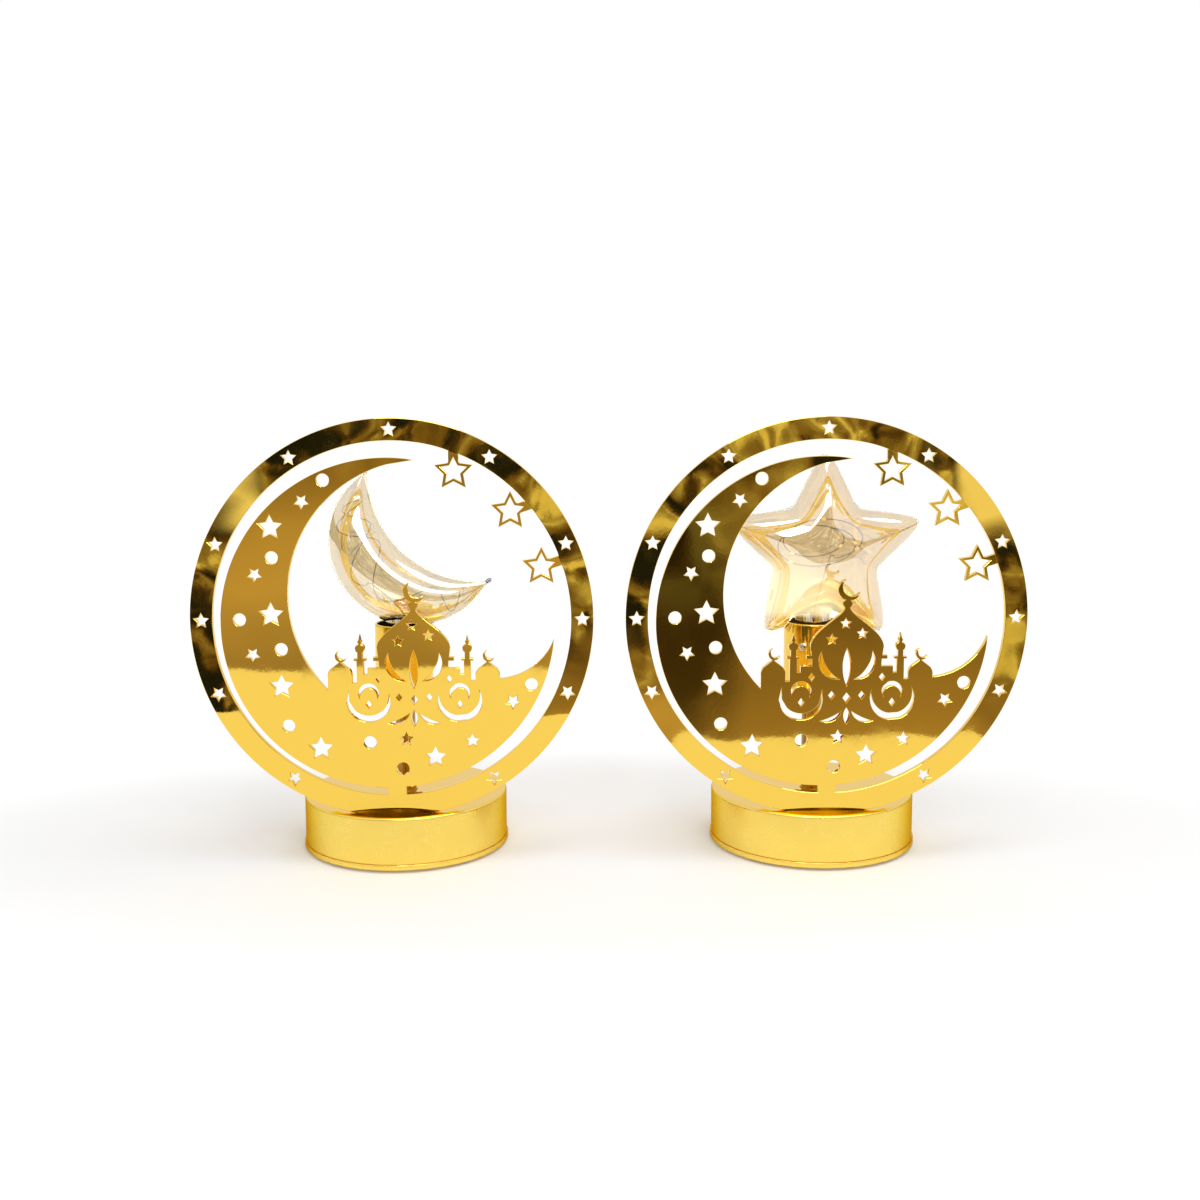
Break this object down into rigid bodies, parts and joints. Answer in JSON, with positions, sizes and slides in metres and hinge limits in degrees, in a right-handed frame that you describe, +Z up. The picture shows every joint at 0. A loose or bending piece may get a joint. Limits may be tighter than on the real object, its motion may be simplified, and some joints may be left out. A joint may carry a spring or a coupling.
{
  "type": "battery lit crescent ornament pair",
  "caption": "Pair of round gold mirror plates cut with a crescent, stars and a domed skyline, each on a drum base with a moon or star glass lamp behind.",
  "frame": {"origin": "on the table under the pair, at the middle of the whole set's box", "axes": "+X to the right along the pair, +Y away from the viewer, +Z up; the plates face -Y"},
  "size_m": [0.26, 0.0672, 0.1412],
  "materials": {
    "gold_mirror": "mirror gold plating on a moulded plastic plate",
    "gold_plating": "bright gold plating on moulded plastic",
    "amber_glass": "clear champagne tint",
    "cell_jacket": "plain printed film round a steel can",
    "spring_steel": "nickel plated",
    "screw_steel": "zinc plated",
    "white_plastic": "moulded",
    "black_plastic": "moulded",
    "circuit_laminate": "lacquered laminate",
    "copper_wire": "enamelled copper wire",
    "lead_insulation": "soft insulation",
    "foot_rubber": "matt rubber"
  },
  "bodies": {
    "moon_stand": {"moon_face_plate": "gold_mirror", "moon_base_shell": "gold_plating", "moon_bottom_cover": "gold_plating", "moon_cell_left": "cell_jacket", "moon_cell_right": "cell_jacket", "moon_contact_bridge": "spring_steel", "moon_contact_plus": "spring_steel", "moon_contact_minus": "spring_steel", "moon_plate_bracket": "white_plastic", "moon_switch_body": "black_plastic", "moon_circuit_board": "circuit_laminate", "moon_cover_screw_1": "screw_steel", "moon_cover_screw_2": "screw_steel", "moon_cover_screw_3": "screw_steel", "moon_cover_screw_4": "screw_steel", "moon_foot_1": "foot_rubber", "moon_foot_2": "foot_rubber", "moon_foot_3": "foot_rubber", "moon_foot_4": "foot_rubber", "moon_stem_tube": "gold_plating", "moon_stem_nut": "spring_steel", "moon_lamp_cup": "gold_plating", "moon_cup_screw": "screw_steel", "moon_bulb_plug": "black_plastic", "moon_bulb": "amber_glass", "moon_light_string": "copper_wire", "moon_lead_wires": "lead_insulation"},
    "moon_door": {"moon_battery_door": "gold_plating"},
    "moon_switch": {"moon_switch_knob": "black_plastic"},
    "star_stand": {"star_face_plate": "gold_mirror", "star_base_shell": "gold_plating", "star_bottom_cover": "gold_plating", "star_cell_left": "cell_jacket", "star_cell_right": "cell_jacket", "star_contact_bridge": "spring_steel", "star_contact_plus": "spring_steel", "star_contact_minus": "spring_steel", "star_plate_bracket": "white_plastic", "star_switch_body": "black_plastic", "star_circuit_board": "circuit_laminate", "star_cover_screw_1": "screw_steel", "star_cover_screw_2": "screw_steel", "star_cover_screw_3": "screw_steel", "star_cover_screw_4": "screw_steel", "star_foot_1": "foot_rubber", "star_foot_2": "foot_rubber", "star_foot_3": "foot_rubber", "star_foot_4": "foot_rubber", "star_stem_tube": "gold_plating", "star_stem_nut": "spring_steel", "star_lamp_cup": "gold_plating", "star_cup_screw": "screw_steel", "star_bulb_plug": "black_plastic", "star_bulb": "amber_glass", "star_light_string": "copper_wire", "star_lead_wires": "lead_insulation"},
    "star_door": {"star_battery_door": "gold_plating"},
    "star_switch": {"star_switch_knob": "black_plastic"}
  },
  "joints": [
    {"name": "star_stand_shift", "type": "slide", "parent": "moon_stand", "child": "star_stand", "axis": [1, 0, 0], "range_m": [0, 0.06]},
    {"name": "moon_door_slide", "type": "slide", "parent": "moon_stand", "child": "moon_door", "axis": [0, 1, 0], "range_m": [0, 0.02]},
    {"name": "moon_switch_slide", "type": "slide", "parent": "moon_stand", "child": "moon_switch", "axis": [0, 1, 0], "range_m": [0, 0.003]},
    {"name": "star_door_slide", "type": "slide", "parent": "star_stand", "child": "star_door", "axis": [0, 1, 0], "range_m": [0, 0.02]},
    {"name": "star_switch_slide", "type": "slide", "parent": "star_stand", "child": "star_switch", "axis": [0, 1, 0], "range_m": [0, 0.003]}
  ]
}
